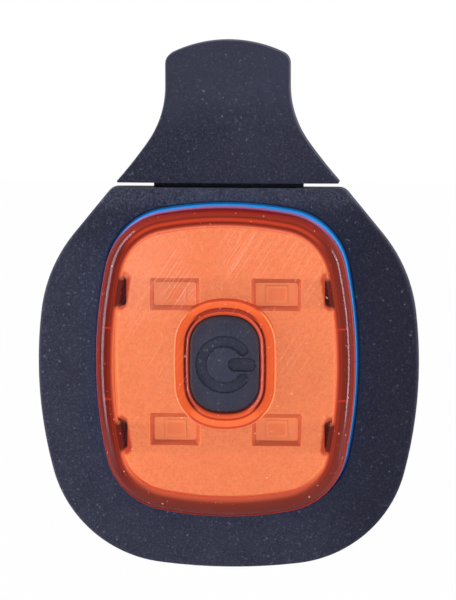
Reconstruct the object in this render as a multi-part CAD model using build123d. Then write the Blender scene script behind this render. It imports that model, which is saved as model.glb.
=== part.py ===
from build123d import *
import os
from math import cos, radians, sin, sqrt, tan

# A clip-on LED safety light, in millimetres. It is drawn lying on its back: x runs across it, y up it
# from the middle of the lens, and z from its flat back (z = 0) towards the lens. save() stands it up.

# Window in the soft holder, which the lens and all that is behind it follow
window_width = 41.8
window_height = 50.1
window_side_radius = 75.0
window_end_radius = 55.0
window_corner_radius = 11.2

# Soft holder
side_band = 9.5  # rubber beside the window, at its widest
bottom_band = 8.9
top_band = 2.2
side_radius = 70.0
bottom_radius = 94.0
widest_below_middle = 0.85
shoulder_half_width = 18.53
shoulder_angle = 39.3  # from upright
shoulder_round = 24.0
hip_round = 20.0
top_corner_round = 2.0
holder_crest = 5.6  # height that the front's dome would reach over the window
holder_dome_radius = 200.0
holder_edge_round = 0.5
back_skin = 1.0
window_lip_round = 0.3

# Fold-over tab and its moulded hinge
slot_gap = 0.75
web_width = 23.9
web_thickness = 0.8
tab_length = 22.73
tab_tip_half_width = 17.95
tab_neck_half_width = 9.91
tab_flank_angle = 35.25  # from upright, where the flank's two curves meet
tab_flank_radius = 73.0
tab_flank_round = 15.5
tab_top_radius = 20.5
tab_top_corner_round = 1.9
tab_tip_round = 0.2
tab_crest = 3.4
tab_dome_radius = 400.0
tab_edge_round = 0.3
tab_plate_margin = 2.2
tab_plate_round = 1.2
tab_plate_thickness = 0.8
plate_clearance = 0.1

# Magnets, one behind the window and one in the tab, which meet when the tab is folded
magnet_radius = 6.0
magnet_thickness = 1.6
magnet_from_end = 10.55  # window's end to magnet
magnet_clearance = 0.05
magnet_ring_wall = 1.0
magnet_ring_rise = 0.2

# Grip grooves in the back, over the magnets
groove_count = 4
groove_pitch = 3.0
groove_width = 0.8
groove_depth = 0.3
groove_length = 12.0

# Rear case
floor_thickness = 1.3
case_wall = 1.0
case_flange = 2.0  # reach of the floor under the holder
case_grip_height = 3.2  # of the rim that the holder grips
case_rim_height = 6.8
case_fit = 0.02  # between case and holder
boss_radius = 1.5

# Lens
lens_gap = 0.25  # between lens and window, all round
lens_wall = 1.6
lens_front = 1.6
lens_height = 11.6
lens_dome_radius = 300.0
lens_shoulder_radius = 3.0
tongue_clearance = 0.15
tongue_depth = 0.5
lens_seal_thickness = 0.4
collar_width = 16.1
collar_height = 20.3
collar_wall = 1.3
hole_mouth_radius = 0.85
wall_rib_thickness = 0.45
wall_rib_above_middle = 5.7
wall_rib_drop = 0.8  # from the inside of the lens's front

# Reflector plate
plate_side_gap = 3.1  # window to plate
plate_end_gap = 3.2
plate_side_radius = 90.0
plate_end_radius = 50.0
plate_corner_radius = 8.2
plate_top = 8.3
plate_thickness = 0.8
plate_skirt = 0.9
plate_edge_round = 0.7
notch_length = 5.6
notch_depth = 1.35
notch_from_top = 10.55  # plate's end to notch
notch_from_bottom = 10.05
notch_round = 0.8
well_from_side = 9.72  # plate's side to well
well_from_end = 11.05
well_width = 8.1
well_height = 5.3
well_floor_width = 6.6
well_floor_height = 3.6
well_depth = 1.0
well_wall = 0.6
well_round = 0.35

# Circuit board and what is soldered to it
board_gap = 0.45  # lens wall to board
board_back = 5.2
board_thickness = 0.8
led_width = 3.5
led_height = 2.8
led_thickness = 1.4
led_clearance = 0.03
led_cup_width = 2.6
led_cup_height = 1.9
led_cup_round = 0.4
led_cup_depth = 0.5
switch_size = 6.2
switch_thickness = 2.2
switch_clearance = 0.35
plunger_radius = 1.7
plunger_length = 1.4
plunger_rise = 0.6
plunger_clearance = 0.05
chip_size = (4.0, 3.0, 1.0)
chip_from_side = 5.85  # board's side to chip
resistor_size = (1.25, 2.0, 0.5)
resistor_from_side = 4.25
resistor_above_middle = 5.4
capacitor_size = (2.0, 1.6, 0.9)
capacitor_from_side = 6.05
capacitor_above_middle = 1.8

# Screws that hold the board
screw_from_side = 6.2  # plate's side to screw
screw_from_end = 5.15
screw_angle = 61.0  # round the cell from straight below it, to the lower screws
screw_radius = 0.65
screw_head_radius = 1.4
screw_head_height = 0.9
screw_length = 3.5
screw_pilot_clearance = 0.05
screw_slot_width = 0.4
screw_slot_depth = 0.4
board_hole_clearance = 0.15

# Power button
button_width = 11.0
button_height = 15.3
button_clearance = 0.2
button_top = 11.45
button_dome_radius = 45.0
button_edge_round = 0.5
button_flange_reach = 0.6
button_flange_thickness = 0.8
button_lens_clearance = 0.12
button_stem_radius = 2.4
mark_radius = 3.7
mark_width = 1.67
mark_gap_angle = 76.0
mark_bar_start = 0.7
mark_bar_length = 4.3
mark_bar_width = 2.1
mark_depth = 0.45

# Coin cell and its quarter-turn door
cell_radius = 10.0
cell_thickness = 3.2
cell_from_end = 15.55  # window's end to the cell's middle
cell_play = 0.1
cell_cap_radius = 8.9
cell_cap_step = 0.3
cell_edge_round = 0.4
door_recess = 0.15  # of the door's face below the back
door_thickness = 1.2
door_rim = 0.5
door_plug_clearance = 0.1
door_flange_reach = 2.4  # past the plug
door_flange_thickness = 0.75
door_opening_clearance = 0.15
lug_count = 3
lug_reach = 0.8
lug_thickness = 0.7
lug_angle = 22.0
lug_clearance = 0.05
lug_notch_clearance = 0.2
lug_notch_angle = 4.0  # past each end of a lug
door_turn = 45.0
coin_slot_length = 13.0
coin_slot_width = 2.2
coin_slot_depth = 0.7
seal_start = 1.2  # from the plug to the seal's groove
seal_width = 0.8
seal_thickness = 0.45
seal_clearance = 0.05
cradle_gap = 0.25  # lugs to cradle
cradle_wall = 1.2
cradle_clearance = 0.1
cradle_seat_wall = 1.1
contact_thickness = 0.22
contact_width = 3.0
contact_reach = 5.0
contact_side_angle = 40.0

# Heights and places that follow from the above
floor_top = back_skin + floor_thickness
board_front = board_back + board_thickness
lens_inside = lens_height - lens_front
lens_inset = lens_gap + lens_wall
rim_inset = lens_gap + case_wall
tongue_end = case_rim_height - tongue_depth
ledge_top = tongue_end - lens_seal_thickness
window_half_width = window_width / 2
window_half_height = window_height / 2
holder_half_width = window_half_width + side_band
holder_bottom = -(window_half_height + bottom_band)
holder_top = window_half_height + top_band
magnet_y = window_half_height - magnet_from_end
tab_bottom = holder_top + slot_gap
tab_top = tab_bottom + tab_length
hinge_y = holder_top + slot_gap / 2
tab_magnet_y = 2 * hinge_y - magnet_y
cell_y = cell_from_end - window_half_height
cell_back = door_recess + door_thickness + cell_play
cell_front = cell_back + cell_thickness
plug_radius = cell_radius + cell_play + door_rim
lug_start = floor_top + lug_clearance
cradle_back = lug_start + lug_thickness + cradle_gap
cradle_inside = cell_radius + cell_play + contact_thickness + cradle_clearance
cradle_outside = cradle_inside + cradle_wall
switch_front = board_front + switch_thickness
plunger_front = switch_front + plunger_rise
button_flange_front = lens_inside - button_lens_clearance
button_flange_back = button_flange_front - button_flange_thickness
collar_inside = (collar_width - 2 * collar_wall, collar_height - 2 * collar_wall)
door_opening_radius = plug_radius + door_flange_reach + door_opening_clearance
board_half_width = window_half_width - lens_inset - board_gap
plate_half_width = window_half_width - plate_side_gap
plate_half_height = window_half_height - plate_end_gap
upper_notch_y = plate_half_height - notch_from_top
lower_notch_y = notch_from_bottom - plate_half_height
well_x = plate_half_width - well_from_side
well_y = plate_half_height - well_from_end
screw_to_cell = cradle_outside + cradle_clearance + boss_radius
upper_screw = (plate_half_width - screw_from_side, plate_half_height - screw_from_end)
lower_screw = (screw_to_cell * sin(radians(screw_angle)), cell_y - screw_to_cell * cos(radians(screw_angle)))

screw_places = [(i * x, y) for i in (-1, 1) for x, y in (upper_screw, lower_screw)]
led_places = [(i * well_x, j * well_y) for j in (1, -1) for i in (-1, 1)]
led_names = ["led_top_left", "led_top_right", "led_bottom_left", "led_bottom_right"]

high = 3 * lens_height  # taller than the light, for cuts that go right through
overrun = 3.0  # of an outline past the edge where it is then cut flat
tolerance = 0.001


def barrel(width, height, side_radius, end_radius, corner_radius):
    """A rectangle whose sides and ends bulge, with round corners."""
    across = Pos(width / 2 - side_radius, 0) * Circle(side_radius)
    across &= Pos(side_radius - width / 2, 0) * Circle(side_radius)
    along = Pos(0, height / 2 - end_radius) * Circle(end_radius)
    along &= Pos(0, end_radius - height / 2) * Circle(end_radius)
    outline = across & along
    return fillet(outline.vertices(), corner_radius)


def window(grow=0.0):
    """The window's outline, grown or shrunk by the same amount all round."""
    return barrel(
        window_width + 2 * grow,
        window_height + 2 * grow,
        window_side_radius + grow,
        window_end_radius + grow,
        window_corner_radius + grow,
    )


def pill(width, height):
    """The outline that the button, its hole and its collar share."""
    return barrel(width, height, 4 * height, 0.62 * height, 0.4 * width)


def slab(outline, start, end):
    """An outline as a solid between two heights."""
    return Pos(0, 0, start) * extrude(outline, end - start)


def disc(radius, start, end, x=0.0, y=0.0):
    """A round solid between two heights."""
    return Pos(x, y, start) * extrude(Circle(radius), end - start)


def tube(inside, outside, start, end, x=0.0, y=0.0):
    """A round wall between two heights."""
    return Pos(x, y, start) * extrude(Circle(outside) - Circle(inside), end - start)


def block(width, height, start, end, x=0.0, y=0.0):
    """A rectangular solid between two heights."""
    return Pos(x, y, start) * extrude(Rectangle(width, height), end - start)


def under_dome(solid, crest, radius, y=0.0):
    """What of a solid lies under a shallow dome with its crest at the given height."""
    return solid & Pos(0, y, crest - radius) * Rot(90, 0, 0) * Sphere(radius)


def edges_above(solid, height):
    """The edges with no end at or below a height."""
    return [e for e in solid.edges() if min(v.Z for v in e.vertices()) > height]


def save(name, solid):
    """Stand a piece up, with the origin on the back over the magnet, and write it."""
    upright = Plane.XZ.location * Pos(0, -magnet_y, 0) * solid
    upright.label = name
    export_step(upright, f"parts/{name}.step")


def grooves(y):
    """Shallow grip grooves in the back, on both sides of a height."""
    cuts = []
    for i in range(groove_count):
        place = y + (i - (groove_count - 1) / 2) * groove_pitch
        bar = SlotOverall(groove_length, groove_width)
        cuts.append(Pos(0, place, 0) * extrude(bar, groove_depth))
    return cuts


# The soft holder and its tab


def holder_outline():
    """The holder's outline, with its shoulders run on past its flat top."""
    slope = tan(radians(shoulder_angle))
    peak = holder_top + overrun
    low = 2 * holder_bottom
    roof = Polygon(
        (-shoulder_half_width + overrun * slope, peak),
        (shoulder_half_width - overrun * slope, peak),
        (shoulder_half_width + (holder_top - low) * slope, low),
        (-shoulder_half_width - (holder_top - low) * slope, low),
        align=None,
    )
    sides = Pos(holder_half_width - side_radius, -widest_below_middle) * Circle(side_radius)
    sides &= Pos(side_radius - holder_half_width, -widest_below_middle) * Circle(side_radius)
    base = Pos(0, holder_bottom + bottom_radius) * Circle(bottom_radius)
    outline = sides & base & roof
    for first, radius in ((2, shoulder_round), (0, hip_round)):
        pair = outline.vertices().sort_by(Axis.Y)[first : first + 2]
        outline = fillet(pair, radius)
    return outline


def mirrored(point):
    return Vector(-point.X, point.Y)


def arc(start, end, centre):
    middle = (start + end) / 2 - centre
    return ThreePointArc(start, centre + middle.normalized() * (start - centre).length, end)


def tab_outline():
    """The tab's outline, with its flanks run on past its straight lower edge."""
    lean = Vector(cos(radians(tab_flank_angle)), sin(radians(tab_flank_angle)))
    spread = tab_flank_radius - tab_flank_round
    centre_x = tab_neck_half_width + tab_flank_round + spread * lean.X
    rise = sqrt(tab_flank_radius**2 - (centre_x - tab_tip_half_width) ** 2)
    centre = Vector(centre_x, tab_bottom + rise)
    neck_centre = centre - spread * lean
    low = centre - Vector(sqrt(tab_flank_radius**2 - (rise + overrun) ** 2), rise + overrun)
    joint = centre - tab_flank_radius * lean
    neck = neck_centre - Vector(tab_flank_round, 0)
    peak = Vector(tab_neck_half_width, tab_top)
    side = [arc(low, joint, centre), arc(joint, neck, neck_centre), Line(neck, peak)]
    ends = [Line(point, mirrored(point)) for point in (low, peak)]
    outline = make_face(side + [mirror(edge, Plane.YZ) for edge in side] + ends)
    above = Pos(0, tab_top) * Rectangle(2 * tab_tip_half_width, tab_length)
    crown = Pos(0, tab_top - tab_top_radius) * Circle(tab_top_radius)
    outline -= above - crown
    return fillet(outline.vertices().sort_by(Axis.Y)[-2:], tab_top_corner_round)


def trim(solid, outline, y, side, corner_round):
    """Cut a soft piece off flat at a height along the light, with its new corners round."""
    keep = Rectangle(4 * holder_half_width, 4 * holder_half_width)
    keep = outline & Pos(0, y - side * 2 * holder_half_width) * keep
    corners = [v for v in keep.vertices() if abs(v.Y - y) < tolerance]
    return solid & slab(fillet(corners, corner_round), 0, high)


def rubber_holder():
    solid = under_dome(slab(holder_outline(), 0, holder_crest), holder_crest, holder_dome_radius)
    solid = fillet(edges_above(solid, back_skin), holder_edge_round)
    solid = trim(solid, holder_outline(), holder_top, 1, top_corner_round)
    solid -= slab(window(), floor_top, high)
    lip = [e for e in edges_above(solid, floor_top) if within_window(e)]
    solid = fillet(lip, window_lip_round)
    solid -= slab(window(case_flange), back_skin, floor_top)
    solid -= disc(door_opening_radius, 0, back_skin, y=cell_y)
    return solid - grooves(magnet_y)


def within_window(edge):
    middle = edge @ 0.5
    reach = 2 * tolerance
    return abs(middle.X) < window_half_width + reach and abs(middle.Y) < window_half_height + reach


def hinge_web():
    return block(web_width, slot_gap, 0, web_thickness, y=hinge_y)


def tab_rubber():
    blank = slab(tab_outline(), 0, tab_crest)
    solid = under_dome(blank, tab_crest, tab_dome_radius, y=tab_magnet_y)
    solid = fillet(edges_above(solid, back_skin), tab_edge_round)
    solid = trim(solid, tab_outline(), tab_bottom, -1, tab_tip_round)
    solid -= slab(tab_plate_outline(), 0, tab_plate_thickness)
    pocket_top = tab_plate_thickness + magnet_thickness
    return solid - disc(magnet_radius + magnet_clearance, 0, pocket_top, y=tab_magnet_y)


def tab_plate_outline(clearance=0.0):
    """The recess in the tab's back, or the plate that drops in it with a clearance."""
    low = tab_bottom + tab_plate_margin + clearance
    inside = offset(tab_outline(), -(tab_plate_margin + clearance))
    above = Pos(0, low + tab_length) * Rectangle(4 * shoulder_half_width, 2 * tab_length)
    outline = inside & above
    return fillet(outline.vertices().sort_by(Axis.Y)[0:2], tab_plate_round)


def tab_back_plate():
    plate = slab(tab_plate_outline(plate_clearance), 0, tab_plate_thickness)
    return plate - grooves(tab_magnet_y)


def tab_magnet():
    start = tab_plate_thickness
    return disc(magnet_radius, start, start + magnet_thickness, y=tab_magnet_y)


# The case and the lens


def base_shell():
    solid = slab(window(case_flange - case_fit), back_skin, floor_top)
    for outside, inside, top in (
        (case_fit, lens_inset, case_grip_height),
        (lens_gap, lens_inset, ledge_top),
        (lens_gap, rim_inset, case_rim_height),
    ):
        solid += slab(window(-outside) - window(-inside), floor_top, top)
    for x, y in screw_places:
        solid += disc(boss_radius, floor_top, board_back, x, y)
    ring_inside = magnet_radius + magnet_clearance
    ring_top = floor_top + magnet_thickness + magnet_ring_rise
    ring_outside = ring_inside + magnet_ring_wall
    solid += tube(ring_inside, ring_outside, floor_top, ring_top, y=magnet_y)
    seat = cradle_outside + cradle_clearance
    solid += tube(seat, seat + cradle_seat_wall, floor_top, board_back, y=cell_y)
    for x, y in screw_places:
        solid -= disc(screw_radius + screw_pilot_clearance, floor_top, board_back, x, y)
    solid -= disc(plug_radius + door_plug_clearance, 0, floor_top, y=cell_y)
    notch_outside = plug_radius + lug_reach + lug_notch_clearance
    notch_angle = lug_angle + 2 * lug_notch_angle
    for notch in sectors(plug_radius, notch_outside, notch_angle, -door_turn):
        solid -= Pos(0, cell_y) * slab(notch, 0, floor_top)
    return solid


def sectors(inside, outside, angle, turn):
    """Alike pieces of a ring, evenly spaced, the first one turned from the x axis."""
    far = 2 * outside
    half = radians(angle / 2)
    end = (far * cos(half), far * sin(half))
    wedge = Polygon((0, 0), (end[0], -end[1]), end, align=None)
    piece = (Circle(outside) - Circle(inside)) & wedge
    return [Rot(0, 0, turn + i * 360 / lug_count) * piece for i in range(lug_count)]


def body_magnet():
    return disc(magnet_radius, floor_top, floor_top + magnet_thickness, y=magnet_y)


def lens_seal():
    ring = window(-rim_inset - tongue_clearance) - window(-lens_inset)
    return slab(ring, ledge_top, tongue_end)


def front_lens():
    shell = slab(window(-lens_gap), case_rim_height, lens_height)
    shell = under_dome(shell, lens_height, lens_dome_radius)
    shell = fillet(edges_above(shell, case_rim_height), lens_shoulder_radius)
    shell += slab(window(-rim_inset - tongue_clearance), tongue_end, case_rim_height)
    cavity = slab(window(-lens_inset), tongue_end, lens_inside)
    cavity = under_dome(cavity, lens_inside, lens_dome_radius - lens_front)
    cavity = fillet(edges_above(cavity, tongue_end), lens_shoulder_radius - lens_wall)
    solid = shell - cavity
    collar = pill(collar_width, collar_height) - pill(*collar_inside)
    solid += slab(collar, plate_top, lens_inside)
    solid += wall_ribs()
    hole = pill(button_width + 2 * button_clearance, button_height + 2 * button_clearance)
    solid -= slab(hole, lens_inside - lens_front, high)
    mouth = [e for e in edges_above(solid, lens_inside) if abs((e @ 0.5).Y) < collar_height / 2]
    mouth = [e for e in mouth if abs((e @ 0.5).X) < collar_width / 2]
    return fillet(mouth, hole_mouth_radius)


def wall_ribs():
    """Short upright ribs inside the lens wall, which steady the plate's edges."""
    outer = window_half_width - lens_inset + lens_wall / 2
    inner = plate_half_width + plate_clearance
    top = lens_inside - wall_rib_drop
    ribs = []
    for side in (-1, 1):
        for y in (-wall_rib_above_middle, wall_rib_above_middle):
            x = side * (outer + inner) / 2
            ribs.append(block(outer - inner, wall_rib_thickness, case_rim_height, top, x, y))
    return ribs


# Behind the lens


def plate_outline(shrink=0.0):
    return barrel(
        2 * (plate_half_width - shrink),
        2 * (plate_half_height - shrink),
        plate_side_radius - shrink,
        plate_end_radius - shrink,
        plate_corner_radius - shrink,
    )


def notch_outline():
    """A round-cornered bite, wider at the plate's edge than at its bottom."""
    slant = notch_depth / 2
    half = notch_length / 2
    bite = Polygon(
        (-notch_depth, half - slant),
        (-notch_depth, slant - half),
        (0, -half),
        (notch_depth, -half),
        (notch_depth, half),
        (0, half),
        align=None,
    )
    return fillet(bite.vertices().sort_by(Axis.X)[0:2], notch_round)


def reflector_plate():
    solid = slab(plate_outline(), board_front, plate_top)
    solid = fillet(edges_above(solid, board_front), plate_edge_round)
    under = plate_top - plate_thickness
    solid -= slab(plate_outline(plate_skirt), board_front, under)
    well_floor = plate_top - well_depth
    for x, y in led_places:
        box = (well_width + 2 * well_wall, well_height + 2 * well_wall)
        solid += block(*box, well_floor - well_wall, under, x, y)
    led_hole = (led_width + 2 * led_clearance, led_height + 2 * led_clearance)
    for x, y in led_places:
        mouth = RectangleRounded(well_width, well_height, well_round)
        floor = RectangleRounded(well_floor_width, well_floor_height, well_round)
        well = loft([(Pos(0, 0, well_floor) * floor).face(), (Pos(0, 0, plate_top) * mouth).face()])
        solid -= Pos(x, y) * well
        solid -= block(*led_hole, board_front, well_floor, x, y)
    opening = switch_size + 2 * switch_clearance
    solid -= block(opening, opening, board_front, plate_top)
    for side in (-1, 1):
        for y in (lower_notch_y, upper_notch_y):
            x = side * (plate_half_width - plate_side_drop(y))
            turned = Pos(x, y) * Rot(0, 0, 0 if side > 0 else 180) * notch_outline()
            solid -= slab(turned, board_front, plate_top)
    return solid


def plate_side_drop(y):
    """How far the plate's bulging side has come in at a height."""
    return y * y / (2 * plate_side_radius)


def circuit_board():
    solid = slab(window(-lens_inset - board_gap), board_back, board_front)
    for x, y in screw_places:
        solid -= disc(screw_radius + board_hole_clearance, board_back, board_front, x, y)
    return solid


def led(x, y):
    top = board_front + led_thickness
    package = block(led_width, led_height, board_front, top, x, y)
    return package - Pos(x, y) * led_cup(top)


def led_cup(top):
    return slab(RectangleRounded(led_cup_width, led_cup_height, led_cup_round), top - led_cup_depth, top)


def led_windows():
    top = board_front + led_thickness
    return Compound([Pos(x, y) * led_cup(top) for x, y in led_places])


def tact_switch():
    body = block(switch_size, switch_size, board_front, switch_front)
    return body - disc(plunger_radius + plunger_clearance, board_front, switch_front)


def switch_plunger():
    return disc(plunger_radius, plunger_front - plunger_length, plunger_front)


def on_board(size, x, y):
    width, height, thickness = size
    return block(width, height, board_front, board_front + thickness, x, y)


def controller_chip():
    return on_board(chip_size, chip_from_side - board_half_width, 0)


def chip_resistors():
    x, y = board_half_width - resistor_from_side, resistor_above_middle
    return Compound([on_board(resistor_size, i * x, j * y) for i in (-1, 1) for j in (-1, 1)])


def chip_capacitors():
    x, y = board_half_width - capacitor_from_side, capacitor_above_middle
    return Compound([on_board(capacitor_size, x, j * y) for j in (-1, 1)])


def board_screws():
    screws = []
    for x, y in screw_places:
        head = disc(screw_head_radius, board_front, board_front + screw_head_height, x, y)
        slot_start = board_front + screw_head_height - screw_slot_depth
        head -= block(high, screw_slot_width, slot_start, high, x, y)
        screws.append(head + disc(screw_radius, board_front - screw_length, board_front, x, y))
    return Compound(screws)


# The power button


def button_cap():
    solid = slab(pill(button_width, button_height), button_flange_back, button_top)
    solid = under_dome(solid, button_top, button_dome_radius)
    solid = fillet(edges_above(solid, button_flange_back), button_edge_round)
    reach = 2 * button_flange_reach
    flange = pill(button_width + reach, button_height + reach)
    solid += slab(flange, button_flange_back, button_flange_front)
    solid += disc(button_stem_radius, plunger_front, button_flange_back)
    return solid - slab(standby_mark(), button_top - mark_depth, high)


def standby_mark():
    """An open ring with a bar in its gap, on its side."""
    arc = CenterArc((0, 0), mark_radius, mark_gap_angle / 2, 360 - mark_gap_angle)
    ring = SlotArc(arc, mark_width)
    bar = Pos(mark_bar_start + mark_bar_length / 2, 0) * SlotOverall(mark_bar_length, mark_bar_width)
    return ring + bar


# The coin cell, what holds it and its door


def coin_cell():
    step = cell_front - cell_cap_step
    can = disc(cell_radius, cell_back, step, y=cell_y)
    can = fillet(can.edges(), cell_edge_round)
    return can + disc(cell_cap_radius, step, cell_front, y=cell_y)


def cell_cradle():
    return tube(cradle_inside, cradle_outside, cradle_back, board_back, y=cell_y)


def contact_positive():
    """A curved strip beside the cell, which presses on the wall of its can."""
    inside = cell_radius + cell_play
    strip = Circle(inside + contact_thickness) - Circle(inside)
    far = 2 * cell_radius
    half = radians(contact_side_angle / 2)
    end = (far * sin(half), -far * cos(half))
    wedge = Polygon((0, 0), end, (-end[0], end[1]), align=None)
    return Pos(0, cell_y) * slab(strip & wedge, cradle_back, board_back)


def contact_negative():
    """A bent leaf that reaches from the board down to the cell's cap."""
    foot, pad, t = board_back, cell_front, contact_thickness
    reach, bend = contact_reach, contact_reach / 3
    profile = Polygon(
        (reach, foot),
        (reach, foot - t),
        (bend, foot - t),
        (-bend, pad),
        (-reach, pad),
        (-reach, pad + t),
        (-bend - t / 2, pad + t),
        (bend - t / 2, foot),
        align=None,
    )
    leaf = extrude(Plane.YZ * profile, contact_width / 2, both=True)
    return Pos(0, cell_y) * leaf


def battery_door():
    flange_front = door_recess + door_flange_thickness
    inside = door_recess + door_thickness
    solid = disc(plug_radius + door_flange_reach, door_recess, flange_front)
    solid += disc(plug_radius, door_recess, lug_start + lug_thickness)
    solid -= disc(cell_radius + cell_play, inside, high)
    for lug in sectors(plug_radius - door_rim / 2, plug_radius + lug_reach, lug_angle, 0):
        solid += slab(lug, lug_start, lug_start + lug_thickness)
    solid -= seal_ring(seal_clearance)
    coin_slot = SlotOverall(coin_slot_length, coin_slot_width)
    solid -= slab(coin_slot, door_recess, door_recess + coin_slot_depth)
    return Pos(0, cell_y) * solid


def seal_ring(clearance=0.0):
    """The flat ring in the door's flange, or with a clearance the groove that it lies in."""
    inside = plug_radius + seal_start
    top = back_skin - seal_clearance
    groove_floor = top - seal_thickness - clearance
    return tube(inside - clearance, inside + seal_width + clearance, groove_floor, top)


def door_seal():
    return Pos(0, cell_y) * seal_ring()


os.makedirs("parts", exist_ok=True)

for piece in (
    rubber_holder,
    hinge_web,
    tab_rubber,
    tab_back_plate,
    tab_magnet,
    base_shell,
    body_magnet,
    lens_seal,
    front_lens,
    reflector_plate,
    circuit_board,
    led_windows,
    tact_switch,
    switch_plunger,
    controller_chip,
    chip_resistors,
    chip_capacitors,
    board_screws,
    button_cap,
    coin_cell,
    cell_cradle,
    contact_positive,
    contact_negative,
    battery_door,
    door_seal,
):
    save(piece.__name__, piece())

for name, (x, y) in zip(led_names, led_places):
    save(name, led(x, y))
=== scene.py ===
from math import cos, radians, sin, sqrt

import bpy
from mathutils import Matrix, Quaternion, Vector


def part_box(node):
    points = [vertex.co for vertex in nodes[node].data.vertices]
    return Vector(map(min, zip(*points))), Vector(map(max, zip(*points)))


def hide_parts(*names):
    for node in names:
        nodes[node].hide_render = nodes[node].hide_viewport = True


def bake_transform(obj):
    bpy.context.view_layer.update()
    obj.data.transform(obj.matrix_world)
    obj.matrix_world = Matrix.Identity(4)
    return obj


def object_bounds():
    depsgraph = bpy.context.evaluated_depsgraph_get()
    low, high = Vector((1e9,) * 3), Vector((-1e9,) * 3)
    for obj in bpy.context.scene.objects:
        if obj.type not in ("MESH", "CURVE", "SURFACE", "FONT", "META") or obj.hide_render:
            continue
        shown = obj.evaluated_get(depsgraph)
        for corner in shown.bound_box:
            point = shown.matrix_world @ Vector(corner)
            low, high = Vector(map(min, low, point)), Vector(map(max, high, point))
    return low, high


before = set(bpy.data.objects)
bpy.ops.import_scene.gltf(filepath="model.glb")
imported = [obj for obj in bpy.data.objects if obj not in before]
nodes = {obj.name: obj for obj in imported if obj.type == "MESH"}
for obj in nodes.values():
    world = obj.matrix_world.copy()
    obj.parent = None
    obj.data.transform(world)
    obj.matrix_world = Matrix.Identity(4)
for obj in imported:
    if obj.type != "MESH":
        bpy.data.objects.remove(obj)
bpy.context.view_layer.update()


# Shapes that the finishes follow, in metres

LENS_OUTLINE = (0.07475, 0.05475, 0.01095)  # radii of its sides, ends and corners
LENS_SHOULDER = 0.003
LENS_BAND = 0.0032  # from its outer edge to where it is clear
LENS_BAND_EXTRA = 0.0004  # at its lower end
RIB_FROM_MIDDLE = 0.0057
COLLAR_BAND = 0.0026
COLLAR_SHIFT = 0.00025  # of the collar's left side
HOLE_LAP = 0.0004  # of the button's flange past the hole
HOLE_SIDE, HOLE_END = 4.0, 0.62  # radii, as shares of the hole's height
HOLE_CORNER = 0.4  # radius, as a share of its width
RING_RADIUS = 0.0037
RING_WIDTH = 0.00167
RING_GAP = 76.0  # degrees
BAR_START = 0.00067
BAR_LENGTH = 0.00429
BAR_WIDTH = 0.0021
WELL_DEPTH = 0.001
PLATE_SIDE_RADIUS = 0.09
NOTCH_DEPTH = 0.00135
NOTCH_LENGTH = 0.0056
NOTCH_FROM_TOP = 0.01055
NOTCH_FROM_BOTTOM = 0.01005
NOTCH_ROUND = 0.0009
CASE_WALL = 0.00095
CASE_FLOOR = 0.0012
BOARD_SHADE_START, BOARD_SHADE_END = 0.0145, 0.0155  # from the board's middle
STRIP_LAP = 0.0001
STRIP_CUTS = 16
FLOOR_DROP = 0.25
LAMP_AIM = Vector((0, 0, -0.005))


# Colours

RUBBER = (0.019, 0.02, 0.038)
RUBBER_DARK = (0.014, 0.014, 0.031)
# Paler rubber for painted light, with dust, above the lens and on the tab.
RUBBER_LIT_DUSTY = (0.045, 0.047, 0.078)
# Darker rubber for painted shade on the right and at the upper left.
RUBBER_SHADED = (0.006, 0.006, 0.017)
RUBBER_BUTTON = (0.026, 0.027, 0.048)
RUBBER_WORN = (0.033, 0.034, 0.056)
# Dark rubber for painted shade along the power mark's edges.
RUBBER_EDGE_SHADE = (0.008, 0.008, 0.012)
SILICONE_DUST = (0.055, 0.06, 0.09)
LINT = (0.3, 0.3, 0.34)
PLATE_DULL = (0.78, 0.78, 0.78)
PLATE_BRIGHT = (0.88, 0.94, 0.94)
PLATE_GRAIN = (0.62, 0.48, 0.44)
# Painted shade on the sloping sides of the plate's wells.
WELL_SLOPE_SHADE = (0.46, 0.2, 0.18)
# Painted light on the floors of the plate's wells.
WELL_FLOOR_LIT = (0.98, 0.98, 0.98)
# Painted shade round the edges of the plate's notches.
NOTCH_EDGE_SHADE = (0.44, 0.09, 0.06)
CLEAR_ORANGE = (1.0, 0.71, 0.565)
LENS_RIB = (0.6, 0.03, 0.01)
# Painted light on the right side of the lens's band.
LENS_RIGHT_LIT = (0.9, 0.15, 0.08)
# Painted shade on the lens's band over the plate's notches.
LENS_NOTCH_SHADE = (0.12, 0.01, 0.003)
# Pale diffuse colour for scratches and dust, and for the painted light over the upper left.
LENS_SCUFF_AND_GLOW = (1.0, 0.5, 0.36)
LENS_GLOSS = (0.92, 0.86, 1.0)
LENS_SHEEN = 0.32  # of a polished surface's
BLUE_DEEP = (0.006, 0.09, 0.32)
BLUE = (0.009, 0.11, 0.38)
# Brighter blue, painted light on the case's rim.
BLUE_RIM_LIT = (0.014, 0.21, 0.58)
# Blue glow painted on the case's rim.
BLUE_RIM_PAINTED_GLOW = (0.005, 0.085, 0.21)
# Dark colour for painted shade inside the case.
CASE_INSIDE_SHADE = (0.05, 0.004, 0.002)
LAMINATE_DARK = (0.32, 0.01, 0.005)
LAMINATE = (0.38, 0.012, 0.006)
LAMINATE_SHADE = (0.07, 0.004, 0.001)
PAPER_DULL = (0.8, 0.8, 0.8)
PAPER = (0.84, 0.84, 0.84)
FILL_LIGHT = (0.85, 0.85, 0.87)
BLACK = (0.0, 0.0, 0.0)
WHITE = (1.0, 1.0, 1.0)


# Colours from the lens's outer edge, at 0, in to where it is clear, at 1. Beside the red tint they
# hold painted highlights, painted reflections and painted shade: the bright lines and dark bands
# that the walls and shoulder show.

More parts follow.
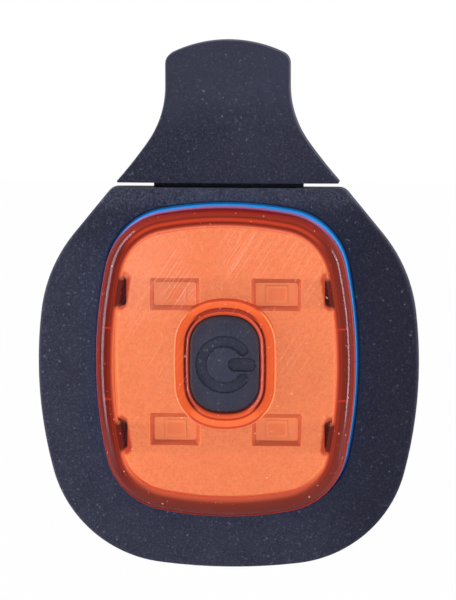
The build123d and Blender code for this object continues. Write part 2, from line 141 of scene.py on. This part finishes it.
LENS_SIDE_TINT_AND_LIGHT = [
    (0.0, (0.12, 0.035, 0.055)),
    (0.06, (0.36, 0.05, 0.04)),
    (0.12, (0.42, 0.04, 0.02)),
    (0.2, (0.3, 0.02, 0.006)),
    (0.3, (0.17, 0.008, 0.0)),
    (0.6, (0.17, 0.008, 0.0)),
    (0.66, (0.28, 0.018, 0.004)),
    (0.73, (0.2, 0.01, 0.001)),
    (0.8, (0.4, 0.04, 0.015)),
    (0.87, (0.6, 0.09, 0.035)),
    (0.95, (0.95, 0.3, 0.12)),
]
LENS_TOP_TINT_AND_LIGHT = [
    (0.0, (0.32, 0.15, 0.37)),
    (0.03, (0.27, 0.06, 0.12)),
    (0.07, (0.3, 0.025, 0.03)),
    (0.18, (0.46, 0.016, 0.001)),
    (0.33, (0.4, 0.035, 0.013)),
    (0.42, (0.24, 0.015, 0.003)),
    (0.5, (0.5, 0.04, 0.01)),
    (0.56, (0.62, 0.05, 0.013)),
    (0.63, (0.38, 0.028, 0.006)),
    (0.69, (0.17, 0.01, 0.001)),
    (0.77, (0.27, 0.025, 0.01)),
    (0.83, (0.54, 0.08, 0.035)),
    (0.89, (0.84, 0.19, 0.09)),
]
LENS_BOTTOM_TINT_AND_LIGHT = [
    (0.0, (0.25, 0.03, 0.02)),
    (0.06, (0.52, 0.04, 0.015)),
    (0.13, (0.18, 0.012, 0.002)),
    (0.25, (0.18, 0.018, 0.006)),
    (0.66, (0.2, 0.022, 0.007)),
    (0.73, (0.28, 0.036, 0.015)),
    (0.8, (0.42, 0.06, 0.026)),
    (0.87, (0.46, 0.07, 0.03)),
    (0.94, (0.66, 0.13, 0.06)),
]

# Colours from the lens's hole, at 0, out to the collar's edge, at 1: the collar's tint with a
# painted highlight on the hole's lip and painted shade in the dark band beside it.

COLLAR_SIDE_TINT_AND_LIGHT = [
    (0.0, (0.4, 0.03, 0.02)),
    (0.08, (0.6, 0.07, 0.04)),
    (0.17, (0.8, 0.12, 0.07)),
    (0.22, (0.6, 0.07, 0.035)),
    (0.26, (0.1, 0.003, 0.0)),
    (0.35, (0.1, 0.003, 0.0)),
    (0.43, (0.68, 0.085, 0.015)),
    (0.8, (0.74, 0.1, 0.022)),
    (0.86, (0.64, 0.065, 0.012)),
    (0.93, (0.98, 0.28, 0.11)),
]
COLLAR_TOP_TINT_AND_LIGHT = [
    (0.0, (0.5, 0.03, 0.01)),
    (0.06, (0.72, 0.09, 0.03)),
    (0.2, (0.72, 0.09, 0.03)),
    (0.27, (0.32, 0.024, 0.008)),
    (0.36, (0.34, 0.03, 0.01)),
    (0.46, (0.22, 0.012, 0.001)),
    (0.53, (0.76, 0.11, 0.024)),
    (0.86, (0.84, 0.14, 0.035)),
    (0.93, (0.5, 0.05, 0.014)),
]
COLLAR_BOTTOM_TINT_AND_LIGHT = [
    (0.0, (0.5, 0.03, 0.01)),
    (0.08, (0.76, 0.1, 0.03)),
    (0.24, (0.8, 0.12, 0.035)),
    (0.3, (0.56, 0.06, 0.018)),
    (0.345, (0.3, 0.02, 0.003)),
    (0.4, (0.6, 0.07, 0.018)),
    (0.46, (0.88, 0.15, 0.04)),
    (0.76, (0.88, 0.15, 0.045)),
    (0.83, (0.54, 0.055, 0.016)),
    (0.89, (0.52, 0.055, 0.018)),
    (0.96, (0.8, 0.17, 0.075)),
]


# Node trees


class Value:
    """What varies over a surface. Python's operators on it add Math nodes."""

    def __init__(self, maker, socket):
        self.maker = maker
        self.socket = socket

    def maths(self, operation, *values):
        return self.maker.node("ShaderNodeMath", {"operation": operation}, dict(enumerate(values)))

    def __add__(self, other):
        return self.maths("ADD", self, other)

    def __radd__(self, other):
        return self.maths("ADD", other, self)

    def __sub__(self, other):
        return self.maths("SUBTRACT", self, other)

    def __rsub__(self, other):
        return self.maths("SUBTRACT", other, self)

    def __mul__(self, other):
        return self.maths("MULTIPLY", self, other)

    def __rmul__(self, other):
        return self.maths("MULTIPLY", other, self)

    def __truediv__(self, other):
        return self.maths("DIVIDE", self, other)

    def __pow__(self, other):
        return self.maths("POWER", self, other)

    def size(self):
        return self.maths("ABSOLUTE", self)

    def sign(self):
        return self.maths("SIGN", self)

    def least(self, other):
        return self.maths("MINIMUM", self, other)

    def most(self, other):
        return self.maths("MAXIMUM", self, other)

    def above(self, other):
        return self.maths("GREATER_THAN", self, other)


class Nodes:
    """A node tree that is put together node by node."""

    def __init__(self, tree):
        self.tree = tree
        tree.nodes.clear()

    def node(self, kind, settings={}, inputs={}, output=0):
        """Add a node, its settings first and then its inputs, and return one of its outputs."""
        made = self.tree.nodes.new(kind)
        for name, value in settings.items():
            if name == "stops":
                self.set_stops(made.color_ramp.elements, value)
            else:
                setattr(made, name, value)
        for name, value in inputs.items():
            if isinstance(value, Value):
                self.tree.links.new(value.socket, made.inputs[name])
            else:
                made.inputs[name].default_value = value
        return Value(self, made.outputs[output]) if made.outputs else None

    def set_stops(self, ramp, stops):
        while len(ramp) < len(stops):
            ramp.new(0.5)
        for stop, (at, color) in zip(ramp, stops):
            stop.position = at
            stop.color = (*color, 1.0)

    def mix_shaders(self, share, first, second):
        return self.node("ShaderNodeMixShader", {}, {0: share, 1: first, 2: second})

    def path(self, *rays):
        """1 for rays of the kinds named, and 0 for others."""
        kinds = [self.node("ShaderNodeLightPath", output=f"Is {ray} Ray") for ray in rays]
        found = kinds[0]
        for kind in kinds[1:]:
            found = found.most(kind)
        return found


class Finish(Nodes):
    """A material, on a place that turns with the piece."""

    def __init__(self, name):
        self.material = bpy.data.materials.new(name)
        self.material.use_nodes = True
        super().__init__(self.material.node_tree)
        self.place = self.node("ShaderNodeTexCoord", output="Object")
        self.x, self.y, self.z = (self.part(self.place, i) for i in range(3))

    def part(self, vector, i):
        """The x, y or z of a vector."""
        return self.node("ShaderNodeSeparateXYZ", {}, {0: vector}, i)

    def vector(self, x, y, z):
        return self.node("ShaderNodeCombineXYZ", {}, {0: x, 1: y, 2: z})

    def inset(self, low, high, side_radius, end_radius, corner_radius):
        """How far in a point lies from a barrel outline that fills a box, and the way out."""
        half_width, half_height = (high.x - low.x) / 2, (high.z - low.z) / 2
        side = Vector((half_width - side_radius, 0.0))
        end = Vector((0.0, half_height - end_radius))
        to_side, to_end = side_radius - corner_radius, end_radius - corner_radius
        gap = (end - side).length
        along = (gap**2 + to_side**2 - to_end**2) / (2 * gap)
        way = (end - side) / gap
        corner = side + way * along + Vector((-way.y, way.x)) * sqrt(to_side**2 - along**2)

        x, z = self.x - (low.x + high.x) / 2, self.z - (low.z + high.z) / 2
        spokes = []
        for centre in (side, end, corner):
            across, up = x.size() - centre.x, z.size() - centre.y
            spokes.append((across, up, (across * across + up * up) ** 0.5))
        across, up, _ = spokes[2]
        past_side = (up * (corner - side).x - across * (corner - side).y).above(0.0)
        past_end = (across * (corner - end).y - up * (corner - end).x).above(0.0)
        shares = (1.0 - past_side, (1.0 - past_end) * past_side, past_side * past_end)

        radii = (side_radius, end_radius, corner_radius)
        insets = [radius - spoke[2] for radius, spoke in zip(radii, spokes)]
        inset = sum(share * each for share, each in zip(shares, insets))
        out_x = sum(share * spoke[0] / spoke[2] for share, spoke in zip(shares, spokes))
        out_z = sum(share * spoke[1] / spoke[2] for share, spoke in zip(shares, spokes))
        return inset, out_x * x.sign(), out_z * z.sign()

    def from_notches(self):
        """How far up or down a point lies from the middle of the plate's nearest notch."""
        low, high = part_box("reflector_plate")
        upper = (self.z - high.z + NOTCH_FROM_TOP).size()
        lower = (self.z - low.z - NOTCH_FROM_BOTTOM).size()
        return upper.least(lower)

    def turned(self, degrees):
        """The place, turned round the way that the light faces."""
        inputs = {"Vector": self.place, "Rotation": (0.0, radians(degrees), 0.0)}
        return self.node("ShaderNodeMapping", {}, inputs)

    def ramp(self, value, stops):
        return self.node("ShaderNodeValToRGB", {"stops": stops}, {0: value})

    def noise(self, size, detail=3.0, roughness=0.5, place=None, stretch=None):
        """Cloudy noise around a half, with blobs of about a size in metres."""
        place = place or self.place
        if stretch:
            place = self.node("ShaderNodeMapping", {}, {"Vector": place, "Scale": stretch})
        inputs = {"Vector": place, "Scale": 1 / size, "Detail": detail, "Roughness": roughness}
        return self.node("ShaderNodeTexNoise", {}, inputs, "Fac")

    def wander(self, size, reach):
        """A distance that strays to either side of nothing."""
        return (self.noise(size) - 0.5) * reach

    def clouds(self, size):
        return self.step(self.noise(size), 0.3, 0.7)

    def step(self, value, low, high):
        """From 0 to 1, smoothly, as a value goes from low to high."""
        settings = {"interpolation_type": "SMOOTHSTEP"}
        return self.node("ShaderNodeMapRange", settings, {"Value": value, 1: low, 2: high})

    def fall(self, value, low, high):
        """From 1 to 0, smoothly, as a value goes from low to high."""
        return 1.0 - self.step(value, low, high)

    def mix(self, share, first, second):
        """A colour between two."""
        first = first if isinstance(first, Value) else (*first, 1.0)
        second = second if isinstance(second, Value) else (*second, 1.0)
        return self.node("ShaderNodeMix", {"data_type": "RGBA"}, {0: share, 6: first, 7: second}, 2)

    def mix_ways(self, share, first, second):
        """A direction between two."""
        settings = {"data_type": "VECTOR"}
        return self.node("ShaderNodeMix", settings, {0: share, 4: first, 5: second}, 1)

    def bump(self, height, distance, strength=1.0):
        inputs = {"Height": height, "Distance": distance, "Strength": strength}
        return self.node("ShaderNodeBump", {}, inputs)

    def plastic(self, tone, roughness, normal, **more):
        inputs = {"Base Color": tone, "Roughness": roughness, "Normal": normal, **more}
        return self.node("ShaderNodeBsdfPrincipled", {}, inputs)

    def done(self, shader):
        self.node("ShaderNodeOutputMaterial", {}, {0: shader})
        return self.material


# Finishes

FINE_GRAIN = 0.0002
FINE_DEPTH = 0.00001


def plain(name, color, roughness, metallic=0.0, vary=0.15):
    """A moulded or rolled finish: fine grain, with its colour a little uneven."""
    f = Finish(name)
    fine = f.noise(FINE_GRAIN)
    dark = tuple(c * (1 - vary) for c in color)
    tone = f.mix(f.clouds(20 * FINE_GRAIN), dark, color)
    rough = roughness + (fine - 0.5) * 0.2
    return f.done(f.plastic(tone, rough, f.bump(fine, FINE_DEPTH), Metallic=metallic))


def silicone(f, tone, dusty):
    """Matt silicone over a colour: a fine skin with pale specks, and lint caught on it."""
    skin = f.noise(0.0003, 3.0, 0.7)
    specks = f.step(f.noise(0.0004, 1.0, 0.5), 0.56, 0.72)
    fibres = f.noise(0.0004, 1.0, 0.5, f.turned(35), (4.0, 1.0, 0.4))
    lint = f.step(f.noise(0.0004, 0.0), 0.8, 0.86).most(f.step(fibres, 0.74, 0.82) * 0.6)
    tone = f.mix(f.step(skin, 0.35, 0.7) * dusty, tone, SILICONE_DUST)
    tone = f.mix(specks * dusty * 1.6, tone, SILICONE_DUST)
    tone = f.mix(lint * 0.25, tone, LINT)
    rough = 0.6 + (skin - 0.5) * 0.3
    normal = f.bump(skin, 0.00004, 0.6)
    return f.done(f.plastic(tone, rough, normal, **{"Specular IOR Level": 0.12}))


def holder_rubber():
    """The holder's silicone, cloudy in patches; darker towards the right and at the upper left as
    painted shade, and paler above the lens and on the tab as painted light with dust.
    """
    f = Finish("slate_rubber")
    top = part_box("rubber_holder")[1].z
    patches = f.step(f.noise(0.006, 5.0, 0.65), 0.36, 0.64)
    tone = f.mix(patches, RUBBER_DARK, RUBBER)

    # Painted shade: the rubber is darker towards the right side.
    right_shade = f.step(f.x + f.wander(0.012, 0.016), 0.008, 0.026)
    tone = f.mix(right_shade * 0.75, tone, RUBBER_SHADED)
    # Painted shade: the rubber is darker over the holder's upper left.
    shoulder = f.fall(f.x + (top - f.z) * 0.6 + f.wander(0.008, 0.01), -0.012, 0.0)
    tone = f.mix(shoulder * f.step(f.z, 0.0, 0.006) * 0.6, tone, RUBBER_SHADED)

    # Painted light with dust: a paler mottled band over the lens.
    over_lens = f.step(f.z + f.wander(0.004, 0.003), top - 0.004, top - 0.002)
    in_front = f.fall(f.y, -0.0022, -0.0008)
    dusty_lit_band = over_lens * f.fall(f.z, top, top + 0.0005) * in_front
    mottle = f.step(f.noise(0.0016, 4.0, 0.7), 0.38, 0.62)
    middle = 1.0 - f.step(f.x.size(), 0.004, 0.014) * 0.75
    # Painted light: the top of the tab is paler.
    lit_tab_top = f.step(f.z + f.wander(0.006, 0.008), top + 0.008, top + 0.016)
    pale = (dusty_lit_band * (mottle * 0.6 + 0.1) * middle).most(lit_tab_top * 0.38)
    dusty = 0.36 - right_shade * 0.18 + dusty_lit_band * 0.5 - lit_tab_top * 0.1
    return silicone(f, f.mix(pale, tone, RUBBER_LIT_DUSTY), dusty)


def power_button_rubber():
    """The button's rubber, with painted shade along the edges of its sunk power mark."""
    f = Finish("button_rubber")
    low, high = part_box("button_cap")
    up = (f.z - (low.z + high.z) / 2).size()
    past = (f.x - BAR_START - BAR_LENGTH / 2).size() - (BAR_LENGTH - BAR_WIDTH) / 2
    past = past.most(0.0)
    bar_edge = (past * past + up * up) ** 0.5 - BAR_WIDTH / 2

    gap = radians(RING_GAP / 2)
    end_x = f.x - RING_RADIUS * cos(gap)
    end_z = up - RING_RADIUS * sin(gap)
    end = (end_x * end_x + end_z * end_z) ** 0.5
    band = ((f.x * f.x + up * up) ** 0.5 - RING_RADIUS).size()
    opening = (f.x * sin(gap) - up * cos(gap)).above(0.0)
    ring_edge = opening * end + (1.0 - opening) * band - RING_WIDTH / 2

    # Painted shade: a dark line along the edges of the sunk power mark.
    edge_shade = f.fall(ring_edge.least(bar_edge).size(), 0.00004, 0.00016)
    tone = f.mix(f.clouds(0.004), RUBBER_BUTTON, RUBBER_WORN)
    return silicone(f, f.mix(edge_shade * 0.75, tone, RUBBER_EDGE_SHADE), 0.3)


def reflector_white():
    """Satin white; painted shade darkens the well's sloping sides and the rolled edges round the
    notches, and painted light brightens the well floors.
    """
    f = Finish("reflector_white")
    low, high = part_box("reflector_plate")
    depth = (f.y - low.y) / WELL_DEPTH
    # Painted shade: the well's sloping sides are darker.
    shaded_slopes = f.step(depth, 0.04, 0.12) * f.fall(depth, 0.94, 0.99)
    # Painted light: the well floors are brighter than the plate's face.
    lit_well_floor = f.step(depth, 0.96, 0.99)

    across = (high.x - low.x) / 2 - (f.x - (low.x + high.x) / 2).size()
    up = f.z - (low.z + high.z) / 2
    drop = up * up / (2 * PLATE_SIDE_RADIUS)
    past_x = (across - drop - NOTCH_DEPTH + NOTCH_ROUND).most(0.0)
    past_z = (f.from_notches() - NOTCH_LENGTH / 2 + NOTCH_ROUND).most(0.0)
    notch = (past_x * past_x + past_z * past_z) ** 0.5 - NOTCH_ROUND
    ragged = (f.noise(0.0012, 2.0) - 0.5) * 0.0004
    # Painted shade: a dark red edge round each notch, standing for its rolled edge.
    rolled = f.fall(notch + ragged, 0.0001, 0.00062)

    grain = f.noise(0.00034, 2.0, 0.6)
    tone = f.mix(f.noise(0.012), PLATE_DULL, PLATE_BRIGHT)
    tone = f.mix(f.step(grain, 0.38, 0.66) * 0.42, tone, PLATE_GRAIN)
    tone = f.mix(shaded_slopes * 0.75, tone, WELL_SLOPE_SHADE)
    tone = f.mix(lit_well_floor, tone, WELL_FLOOR_LIT)
    tone = f.mix(rolled * 0.88, tone, NOTCH_EDGE_SHADE)
    rough = 0.42 + (grain - 0.5) * 0.3
    return f.done(f.plastic(tone, rough, f.bump(grain, 0.00004, 0.5)))


class LensFinish(Finish):
    """Clear orange plastic. Its walls, shoulder and collar are seen edge on, and are painted as
    solid bands of tint, painted highlights, painted reflections and painted shade.
    """

    def __init__(self, name):
        super().__init__(name)
        low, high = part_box("front_lens")
        self.middle = (low + high) / 2
        self.depth, self.out_x, self.out_z = self.inset(low, high, *LENS_OUTLINE)
        self.up = (self.z - self.middle.z) / (high.z - self.middle.z)
        across = ((self.x - self.middle.x) / (high.x - self.middle.x)).size()
        self.at_end = self.step(self.up.size() - across, -0.12, 0.2)
        extra = self.at_end * self.step(self.up * -1.0, 0.0, 0.3) * LENS_BAND_EXTRA
        self.inward = self.depth / (LENS_BAND + extra)
        self.at_notch = self.fall(self.from_notches(), NOTCH_LENGTH / 3, NOTCH_LENGTH / 2)
        self.haze = self.noise(0.006, 4.0, 0.6)
        self.mesh_normal = self.node("ShaderNodeNewGeometry", output="Normal")
        self.seen = 1.0 - self.path("Shadow", "Diffuse")

    def rim_tone(self):
        """The bands that the wall and the shoulder show, with painted highlights, reflections and
        shade, and the ribs inside them.
        """
        side = self.ramp(self.inward, LENS_SIDE_TINT_AND_LIGHT)
        top = self.ramp(self.inward, LENS_TOP_TINT_AND_LIGHT)
        bottom = self.ramp(self.inward, LENS_BOTTOM_TINT_AND_LIGHT)
        end = self.mix(self.step(self.up, -0.1, 0.1), bottom, top)
        tone = self.mix(self.at_end, side, end)
        from_rib = ((self.z - self.middle.z).size() - RIB_FROM_MIDDLE).size()
        in_band = self.step(self.inward, 0.3, 0.42) * self.fall(self.inward, 0.72, 0.82)
        rib = self.fall(from_rib, 0.00008, 0.0002) * in_band
        tone = self.mix(rib * 0.8, tone, LENS_RIB)
        # Painted light: the band is a little brighter on the right side.
        tone = self.mix(self.step(self.out_x, 0.3, 0.9) * 0.08, tone, LENS_RIGHT_LIT)
        # Painted shade: the band is darkened over the plate's notches.
        notch_shade = self.at_notch * self.step(self.inward, 0.74, 0.84)
        return self.mix(notch_shade, tone, LENS_NOTCH_SHADE)

    def collar(self):
        """Where the collar is, and its tone: its tint, a painted highlight on the hole's lip and
        painted shade beside it.
        """
        low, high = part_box("button_cap")
        low = Vector((low.x + HOLE_LAP + COLLAR_SHIFT, 0, low.z + HOLE_LAP))
        high = Vector((high.x - HOLE_LAP, 0, high.z - HOLE_LAP))
        hole = high - low
        radii = (HOLE_SIDE * hole.z, HOLE_END * hole.z, HOLE_CORNER * hole.x)
        inside, _, up = self.inset(low, high, *radii)
        beside = inside / -COLLAR_BAND
        above = self.ramp(beside, COLLAR_TOP_TINT_AND_LIGHT)
        below = self.ramp(beside, COLLAR_BOTTOM_TINT_AND_LIGHT)
        end = self.mix(self.step(up, -0.1, 0.1), below, above)
        at_end = self.step(up.size(), 0.6, 0.85)
        tone = self.mix(at_end, self.ramp(beside, COLLAR_SIDE_TINT_AND_LIGHT), end)
        return self.fall(beside, 0.97, 1.0), tone

    def body(self):
        """A clear front, solid bands of tint and painted light and shade, and nothing solid in the
        way of the light.
        """
        at_collar, collar_tone = self.collar()
        tone = self.mix(at_collar, self.rim_tone(), collar_tone)
        rim = self.fall(self.inward, 0.86, 1.0)
        rim = rim.most(self.at_notch * self.fall(self.inward, 1.0, 1.08))
        solid = (rim * 0.96).most(at_collar * 0.95).most(self.haze * 0.04 + 0.03)
        forward = self.vector(0.0, -1.0, 0.0)
        at_wall = self.fall(self.depth, 0.00005, 0.00025)
        normal = self.mix_ways(at_wall, forward, self.mesh_normal)
        band = self.plastic(tone, 1.0, normal, **{"Specular IOR Level": 0.0})
        clear = self.node("ShaderNodeBsdfTransparent", {}, {"Color": (*CLEAR_ORANGE, 1.0)})
        return self.mix_shaders(solid * self.seen, clear, band)

    def marks_and_glow(self):
        """Scratches in patches, dust, and a pale glow over the upper left that is painted light."""
        away = 1.0 - self.at_notch * self.fall(self.inward, 1.35, 1.5)
        over_plate = self.step(self.inward, 0.9, 1.2) * away
        streaks = self.noise(0.0006, 0.0, 0.5, self.turned(-33), (6.0, 1.0, 0.05))
        patch = self.step(self.noise(0.011, 1.0), 0.34, 0.6) * self.step(self.up, -0.4, 0.4)
        scratches = self.step(streaks, 0.57, 0.72) * patch * over_plate
        # Painted light: a pale glow over the plate toward the upper left.
        to_left = self.step(self.x * -1.0, 0.004, 0.018)
        upper_left_glow = to_left * self.step(self.up, 0.1, 0.8) * over_plate
        dust = self.step(self.noise(0.0004, 0.0), 0.8, 0.85)
        return (scratches * 0.24 + dust * 0.4 + upper_left_glow * 0.15) * self.seen

    def gloss(self):
        """A polish that rolls smoothly over the shoulder."""
        lean = (1.0 - self.depth * (0.935 / LENS_SHOULDER)).most(0.0).least(1.0)
        front = (1.0 - lean * lean) ** 0.5 * -1.0
        rolled = self.vector(self.out_x * lean, front, self.out_z * lean)
        at_shoulder = self.fall(self.depth, 0.9 * LENS_SHOULDER, LENS_SHOULDER)
        normal = self.mix_ways(at_shoulder, self.mesh_normal, rolled)
        rough = self.haze * 0.02 + 0.11
        inputs = {"Color": (*LENS_GLOSS, 1.0), "Roughness": rough, "Normal": normal}
        return self.node("ShaderNodeBsdfAnisotropic", {}, inputs)


def orange_lens():
    f = LensFinish("orange_lens")
    # The pale diffuse layer shows scratches, dust, and painted light over the upper left.
    scuff_and_glow = f.node("ShaderNodeBsdfDiffuse", {}, {"Color": (*LENS_SCUFF_AND_GLOW, 1.0)})
    marked = f.mix_shaders(f.marks_and_glow(), f.body(), scuff_and_glow)
    outside = 1.0 - f.node("ShaderNodeNewGeometry", output="Backfacing")
    sheen = f.node("ShaderNodeFresnel", {}, {"IOR": 1.49}) * outside * LENS_SHEEN
    return f.done(f.mix_shaders(sheen, marked, f.gloss()))


def case_blue():
    """Blue plastic, with painted light and a painted glow at the case's rim, and painted shade
    inside it.
    """
    f = Finish("blue_plastic")
    low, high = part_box("base_shell")
    from_rim, _, _ = f.inset(*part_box("front_lens"), *LENS_OUTLINE)
    # Painted shade: inside the walls and over the floor the case is dark.
    over_floor = f.fall(f.y, high.y - CASE_FLOOR, high.y - 0.001)
    inside = f.step(from_rim, 0.0008, CASE_WALL) * over_floor
    # Painted light: the rim is brighter blue towards its front edge.
    lit_rim = f.fall(f.y - low.y, 0.002, 0.0056) * (1.0 - inside)
    fine = f.noise(FINE_GRAIN)
    tone = f.mix(f.clouds(0.01), BLUE_DEEP, BLUE)
    tone = f.mix(lit_rim, f.mix(inside, tone, CASE_INSIDE_SHADE), BLUE_RIM_LIT)
    # A painted glow: the rim gives off blue light although it is no lamp.
    glow = {"Emission Color": f.mix(lit_rim, BLACK, BLUE_RIM_PAINTED_GLOW), "Emission Strength": 1.0}
    rough = 0.4 + (fine - 0.5) * 0.2
    normal = f.bump(fine, FINE_DEPTH)
    return f.done(f.plastic(tone, rough, normal, **{"Specular IOR Level": 0.2, **glow}))


def board_laminate():
    """The board's solder mask, in shadow where it runs out under the plate's notches."""
    f = Finish("laminate")
    fine = f.noise(FINE_GRAIN)
    tone = f.mix(f.clouds(0.004), LAMINATE_DARK, LAMINATE)
    shade = f.step(f.x.size(), BOARD_SHADE_START, BOARD_SHADE_END)
    tone = f.mix(shade, tone, LAMINATE_SHADE)
    rough = 0.5 + (fine - 0.5) * 0.2
    normal = f.bump(fine, FINE_DEPTH)
    return f.done(f.plastic(tone, rough, normal, **{"Specular IOR Level": 0.05}))


def wear(material, *names):
    for name in names:
        nodes[name].data.materials.clear()
        nodes[name].data.materials.append(material)


blue = case_blue()
black = plain("black_plastic", (0.02, 0.02, 0.022), 0.5)
steel = plain("steel", (0.6, 0.6, 0.6), 0.3, metallic=1.0)
brass = plain("brass", (0.8, 0.6, 0.3), 0.3, metallic=1.0)
tan = plain("capacitor_tan", (0.45, 0.33, 0.2), 0.4)
led_body = plain("led_body", (0.98, 0.98, 0.98), 0.4, vary=0.02)
led_resin = plain("led_resin", (0.94, 0.84, 0.82), 0.2, vary=0.05)
rubber = holder_rubber()

wear(rubber, "rubber_holder", "tab_rubber", "hinge_web")
wear(power_button_rubber(), "button_cap")
wear(blue, "base_shell", "battery_door")
wear(black, "tab_back_plate", "lens_seal", "door_seal", "tact_switch", "switch_plunger")
wear(black, "controller_chip", "chip_resistors", "cell_cradle")
wear(reflector_white(), "reflector_plate")
wear(board_laminate(), "circuit_board")
wear(steel, "body_magnet", "tab_magnet", "coin_cell", "board_screws")
wear(brass, "contact_positive", "contact_negative")
wear(tan, "chip_capacitors")
wear(led_body, "led_top_left", "led_top_right", "led_bottom_left", "led_bottom_right")
wear(led_resin, "led_windows")
wear(orange_lens(), "front_lens")


# Hinge


def hinge_strip():
    """The thin web between holder and tab, as a box cut into slices across its height."""
    low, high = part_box("hinge_web")
    size = high - low
    bpy.ops.object.select_all(action="DESELECT")
    bpy.ops.mesh.primitive_cube_add(size=1.0, location=(low + high) / 2)
    strip = bpy.context.object
    strip.name = "hinge_strip"
    strip.scale = (size.x, size.y, size.z + 2 * STRIP_LAP)
    bpy.ops.object.transform_apply(location=True, rotation=False, scale=True)
    bpy.ops.object.mode_set(mode="EDIT")
    bpy.ops.mesh.select_all(action="DESELECT")
    bpy.ops.object.mode_set(mode="OBJECT")
    for edge in strip.data.edges:
        a, b = (strip.data.vertices[i].co for i in edge.vertices)
        edge.select = abs(a.z - b.z) > size.z
    bpy.ops.object.mode_set(mode="EDIT")
    bpy.ops.mesh.select_mode(type="EDGE")
    bpy.ops.mesh.subdivide(number_cuts=STRIP_CUTS)
    bpy.ops.object.mode_set(mode="OBJECT")
    strip.data.materials.append(rubber)
    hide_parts("hinge_web")
    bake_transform(strip)


hinge_strip()


# Camera

CAMERA_DISTANCE = 0.85
CAMERA_TURN, CAMERA_RISE, CAMERA_ROLL = radians(4.2), radians(7.2), radians(0.12)
CAMERA_AIM = Vector((-0.0002, 0.0, -0.00559))
CAMERA_VIEW = 0.096  # taken in at the light, along the sensor's width
SENSOR = 36.0  # millimetres


def place_camera():
    across, back, up = sin(CAMERA_TURN), cos(CAMERA_TURN), sin(CAMERA_RISE)
    level = cos(CAMERA_RISE)
    way = Vector((across * level, -back * level, up))
    camera = bpy.data.objects.new("camera", bpy.data.cameras.new("camera"))
    bpy.context.scene.collection.objects.link(camera)
    camera.location = CAMERA_AIM + way * CAMERA_DISTANCE
    camera.rotation_mode = "QUATERNION"
    roll = Quaternion((0, 0, 1), -CAMERA_ROLL)
    camera.rotation_quaternion = (-way).to_track_quat("-Z", "Y") @ roll
    camera.data.sensor_width = SENSOR
    camera.data.lens = SENSOR * CAMERA_DISTANCE / CAMERA_VIEW
    camera.data.clip_start = 0.01
    bpy.context.scene.camera = camera


place_camera()


# Floor and light


def studio_floor():
    """A pale floor well under the light, bright to the camera and plain to the lamps."""
    f = Finish("floor")
    tone = f.mix(f.noise(0.05), PAPER_DULL, PAPER)
    paper = f.node("ShaderNodeBsdfPrincipled", {}, {"Base Color": tone, "Roughness": 0.8})
    glow = f.node("ShaderNodeEmission", {}, {"Color": (*WHITE, 1.0), "Strength": 1.0})
    seen = f.path("Camera")
    low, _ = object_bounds()
    bpy.ops.object.select_all(action="DESELECT")
    bpy.ops.mesh.primitive_plane_add(size=6.0, location=(0.0, 0.0, low.z - FLOOR_DROP))
    plane = bpy.context.object
    plane.name = "floor"
    plane.data.materials.append(f.done(f.mix_shaders(seen * 0.97, paper, glow)))


def lamp(name, turn, height, reach, size, power):
    """A softbox that faces the light, turned round it from straight in front."""
    data = bpy.data.lights.new(name, "AREA")
    data.shape = "RECTANGLE"
    data.size, data.size_y = size
    data.energy = power
    made = bpy.data.objects.new(name, data)
    place = Vector((reach * sin(radians(turn)), -reach * cos(radians(turn)), height))
    made.location = place
    made.rotation_mode = "QUATERNION"
    made.rotation_quaternion = (LAMP_AIM - place).to_track_quat("-Z", "Y")
    bpy.context.scene.collection.objects.link(made)


def studio_world():
    """An even fill light, and white where the camera or a reflection looks past the floor."""
    world = bpy.data.worlds.new("studio")
    bpy.context.scene.world = world
    world.use_nodes = True
    w = Nodes(world.node_tree)
    fill = w.node("ShaderNodeBackground", {}, {"Color": (*FILL_LIGHT, 1.0)})
    white = w.node("ShaderNodeBackground", {}, {"Color": (*WHITE, 1.0)})
    seen = w.path("Camera", "Glossy")
    w.node("ShaderNodeOutputWorld", {}, {0: w.mix_shaders(seen, fill, white)})


studio_floor()
lamp("left_softbox", -82, 0.15, 1.0, (0.29, 1.5), 21.0)
lamp("right_strip", 85, 0.0, 1.0, (0.16, 1.0), 12.0)
studio_world()

bpy.context.scene.view_settings.view_transform = "Standard"
